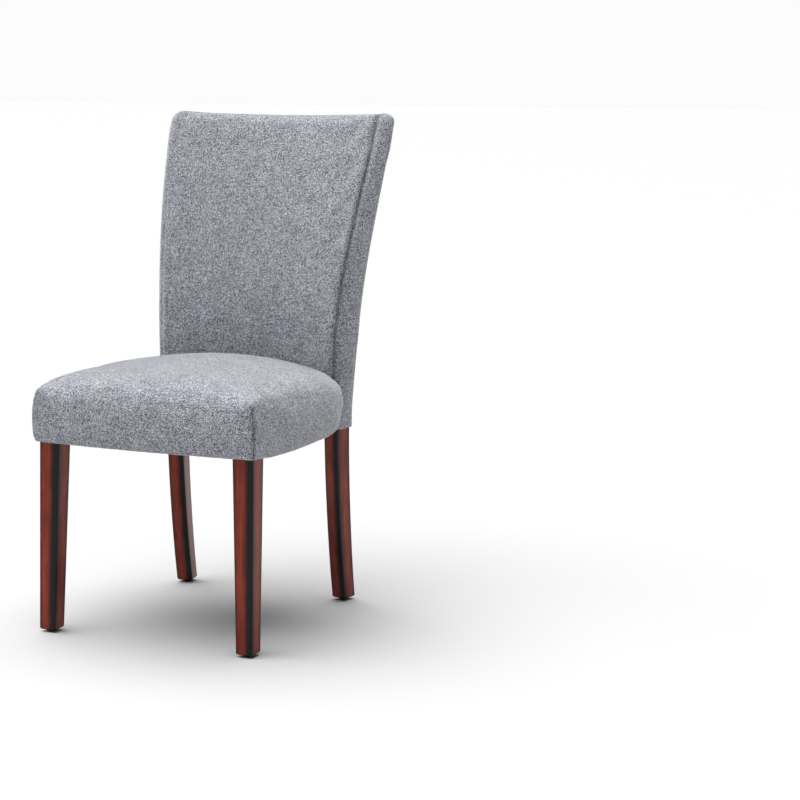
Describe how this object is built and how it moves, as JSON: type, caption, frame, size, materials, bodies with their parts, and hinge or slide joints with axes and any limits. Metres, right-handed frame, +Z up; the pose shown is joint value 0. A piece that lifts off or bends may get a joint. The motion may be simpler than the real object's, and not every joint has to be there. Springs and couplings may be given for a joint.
{
  "type": "parsons chair",
  "caption": "Upholstered armless dining chair with a swept, gently curved high back, crowned seat, tapered wood legs and welted outside back.",
  "frame": {"origin": "on the floor under the middle of the chair's bounding box", "axes": "+X to the right as seen from the front, +Y towards the back of the chair, +Z up; the chair faces -Y"},
  "size_m": [0.5028, 0.6108, 0.9651],
  "materials": {
    "leg_wood": "red-brown stain under satin lacquer, edges burnished nearly black",
    "frame_wood": "sawn hardwood, unfinished",
    "cover_fabric": "heathered blue-grey linen-look weave",
    "foam": "open-cell polyurethane foam",
    "webbing": "elastic upholstery webbing",
    "dust_cloth": "black spun-bonded cloth",
    "glide_plastic": "dark brown moulded plastic",
    "steel": "zinc-plated steel"
  },
  "bodies": {
    "root": {"back_cover": "cover_fabric", "back_foam": "foam", "back_rail_crest": "frame_wood", "back_rail_lower": "frame_wood", "back_rail_middle": "frame_wood", "back_webbing_1": "webbing", "back_webbing_2": "webbing", "back_webbing_3": "webbing", "back_webbing_4": "webbing", "block_screw_front_left_cross": "steel", "block_screw_front_left_side": "steel", "block_screw_front_right_cross": "steel", "block_screw_front_right_side": "steel", "block_screw_rear_left_cross": "steel", "block_screw_rear_left_side": "steel", "block_screw_rear_right_cross": "steel", "block_screw_rear_right_side": "steel", "corner_block_front_left": "frame_wood", "corner_block_front_right": "frame_wood", "corner_block_rear_left": "frame_wood", "corner_block_rear_right": "frame_wood", "dust_cover": "dust_cloth", "front_leg_left": "leg_wood", "front_leg_right": "leg_wood", "glide_front_left": "glide_plastic", "glide_front_right": "glide_plastic", "glide_nail_front_left": "steel", "glide_nail_front_right": "steel", "glide_nail_rear_left": "steel", "glide_nail_rear_right": "steel", "glide_rear_left": "glide_plastic", "glide_rear_right": "glide_plastic", "outside_back_panel": "cover_fabric", "rear_leg_and_stile_left": "leg_wood", "rear_leg_and_stile_right": "leg_wood", "seat_cover": "cover_fabric", "seat_foam": "foam", "seat_rail_front": "frame_wood", "seat_rail_left": "frame_wood", "seat_rail_rear": "frame_wood", "seat_rail_right": "frame_wood", "seat_webbing_cross_1": "webbing", "seat_webbing_cross_2": "webbing", "seat_webbing_cross_3": "webbing", "seat_webbing_long_1": "webbing", "seat_webbing_long_2": "webbing", "seat_webbing_long_3": "webbing", "welt_cord_left": "cover_fabric", "welt_cord_right": "cover_fabric"}
  },
  "joints": []
}
